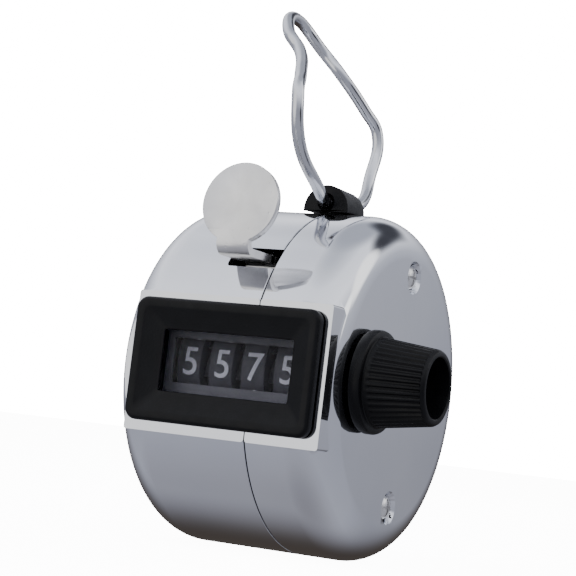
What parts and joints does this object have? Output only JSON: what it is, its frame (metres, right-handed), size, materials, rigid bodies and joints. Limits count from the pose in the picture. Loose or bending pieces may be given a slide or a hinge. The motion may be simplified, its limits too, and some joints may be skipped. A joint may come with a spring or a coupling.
{
  "type": "hand tally counter",
  "caption": "Hand tally counter: chromed drum case, digit window, thumb lever, ribbed reset knob and bent wire finger ring.",
  "frame": {"origin": "centre of the flat left side face of the drum case", "axes": "+X along the drum's axis towards the reset knob, -Y towards the window, +Z towards the finger ring"},
  "size_m": [0.0398, 0.046, 0.0729],
  "materials": {
    "chrome_plate": "mirror-bright plate",
    "satin_nickel": "satin",
    "black_plastic": "semi-gloss",
    "clear_lens": "clear moulded acrylic",
    "grey_plastic": "matt",
    "wheel_plastic": "satin",
    "white_plastic": "satin",
    "zinc_steel": "zinc plated",
    "spring_steel": "plain",
    "brass": "turned"
  },
  "bodies": {
    "case": {"left_shell": "chrome_plate", "right_shell": "chrome_plate", "window_bezel": "black_plastic", "window_lens": "clear_lens", "number_mask": "grey_plastic", "ring_holder": "black_plastic", "case_screw_top": "satin_nickel", "case_screw_bottom": "satin_nickel", "left_frame_plate": "zinc_steel", "right_frame_plate": "zinc_steel", "front_frame_post": "zinc_steel", "rear_frame_post": "zinc_steel", "frame_screw_front": "zinc_steel", "frame_screw_rear": "zinc_steel", "left_axle_bush": "brass", "right_axle_bush": "brass", "lever_pivot_pin": "zinc_steel", "detent_bar": "zinc_steel", "detent_spring": "spring_steel", "detent_screw_left": "zinc_steel", "detent_screw_right": "zinc_steel"},
    "lever": {"thumb_lever": "satin_nickel", "lever_return_spring": "spring_steel", "pawl_pin": "zinc_steel"},
    "pawl": {"drive_pawl": "white_plastic", "pawl_spring": "spring_steel"},
    "reset_shaft": {"wheel_axle": "zinc_steel", "axle_clip": "spring_steel", "reset_knob": "black_plastic", "knob_screw": "satin_nickel"},
    "ring": {"finger_ring": "chrome_plate"},
    "thousands_wheel": {"number_wheel_thousands": "wheel_plastic", "reset_pawl_thousands": "white_plastic"},
    "hundreds_wheel": {"number_wheel_hundreds": "wheel_plastic", "reset_pawl_hundreds": "white_plastic"},
    "tens_wheel": {"number_wheel_tens": "wheel_plastic", "reset_pawl_tens": "white_plastic"},
    "units_wheel": {"number_wheel_units": "wheel_plastic", "reset_pawl_units": "white_plastic"}
  },
  "joints": [
    {"name": "thumb_lever_press", "type": "hinge", "parent": "case", "child": "lever", "pos_m": [0.0161, -0.01495, 0.0093], "axis": [-1, 0, 0], "range_deg": [0, 18], "stiffness_Nm_per_rad": 0.04, "springref_deg": -17.19},
    {"name": "drive_pawl_swing", "type": "hinge", "parent": "lever", "child": "pawl", "pos_m": [0.0161, -0.00295, 0.0115], "axis": [-1, 0, 0], "range_deg": [-18, 0]},
    {"name": "units_wheel_turn", "type": "hinge", "parent": "case", "child": "units_wheel", "pos_m": [0.023, -0.0103, 0.0005], "axis": [-1, 0, 0], "continuous": true},
    {"name": "tens_wheel_turn", "type": "hinge", "parent": "case", "child": "tens_wheel", "pos_m": [0.0184, -0.0103, 0.0005], "axis": [-1, 0, 0], "continuous": true},
    {"name": "hundreds_wheel_turn", "type": "hinge", "parent": "case", "child": "hundreds_wheel", "pos_m": [0.0138, -0.0103, 0.0005], "axis": [-1, 0, 0], "continuous": true},
    {"name": "thousands_wheel_turn", "type": "hinge", "parent": "case", "child": "thousands_wheel", "pos_m": [0.0092, -0.0103, 0.0005], "axis": [-1, 0, 0], "continuous": true},
    {"name": "reset_knob_turn", "type": "hinge", "parent": "case", "child": "reset_shaft", "pos_m": [0.0305, -0.0103, 0.0005], "axis": [-1, 0, 0], "continuous": true},
    {"name": "finger_ring_swing", "type": "hinge", "parent": "case", "child": "ring", "pos_m": [0.01785, 0, 0.0239], "axis": [0, 1, 0], "range_deg": [-85, 110]}
  ],
  "couplings": [
    {"joint": "drive_pawl_swing", "follows": "thumb_lever_press", "ratio": -1},
    {"joint": "units_wheel_turn", "follows": "thumb_lever_press", "ratio": 2},
    {"joint": "tens_wheel_turn", "follows": "reset_knob_turn", "ratio": 1},
    {"joint": "hundreds_wheel_turn", "follows": "reset_knob_turn", "ratio": 1},
    {"joint": "thousands_wheel_turn", "follows": "reset_knob_turn", "ratio": 1}
  ]
}
